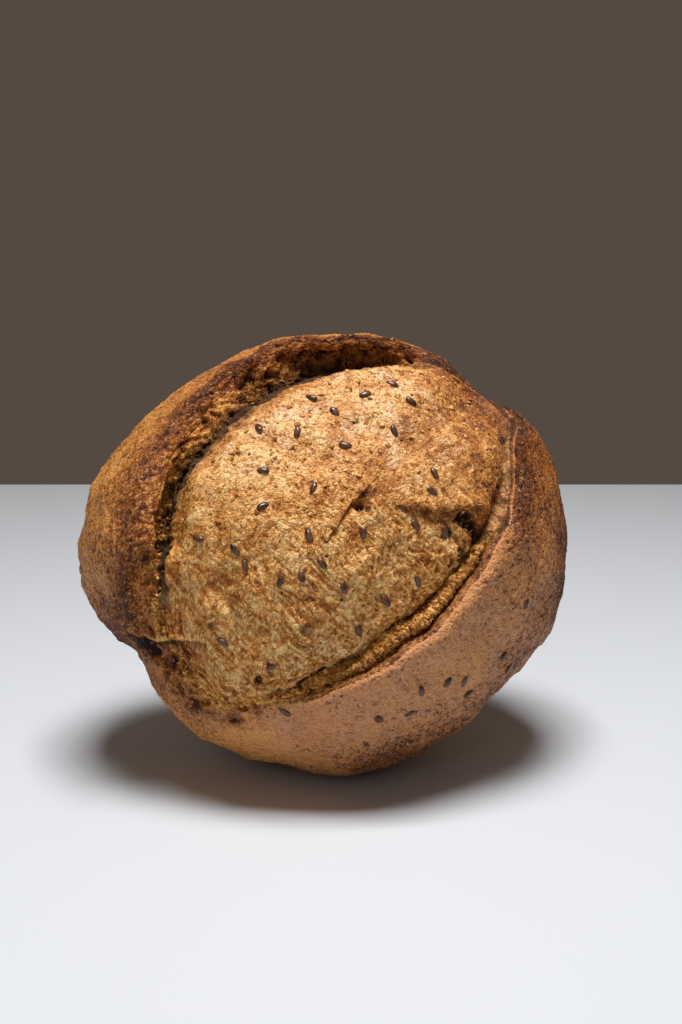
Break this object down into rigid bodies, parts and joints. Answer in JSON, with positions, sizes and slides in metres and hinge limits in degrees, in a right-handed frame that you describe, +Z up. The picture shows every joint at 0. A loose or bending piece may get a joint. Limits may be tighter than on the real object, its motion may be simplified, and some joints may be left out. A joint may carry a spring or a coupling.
{
  "type": "rye bread loaf",
  "caption": "Round whole-grain rye loaf with flax seeds and curved score cuts, standing on its rim with its top to the front.",
  "frame": {"origin": "centre of the bounding box in plan, on the surface that the loaf stands on", "axes": "+Z up, +X to the loaf's right as its scored top is seen, -Y to the front, where the scored top faces"},
  "size_m": [0.1817, 0.1393, 0.16],
  "materials": {
    "crust": "satin",
    "crumb": "matte",
    "seed": "gloss"
  },
  "bodies": {
    "root": {"loaf": "crust"}
  },
  "joints": []
}
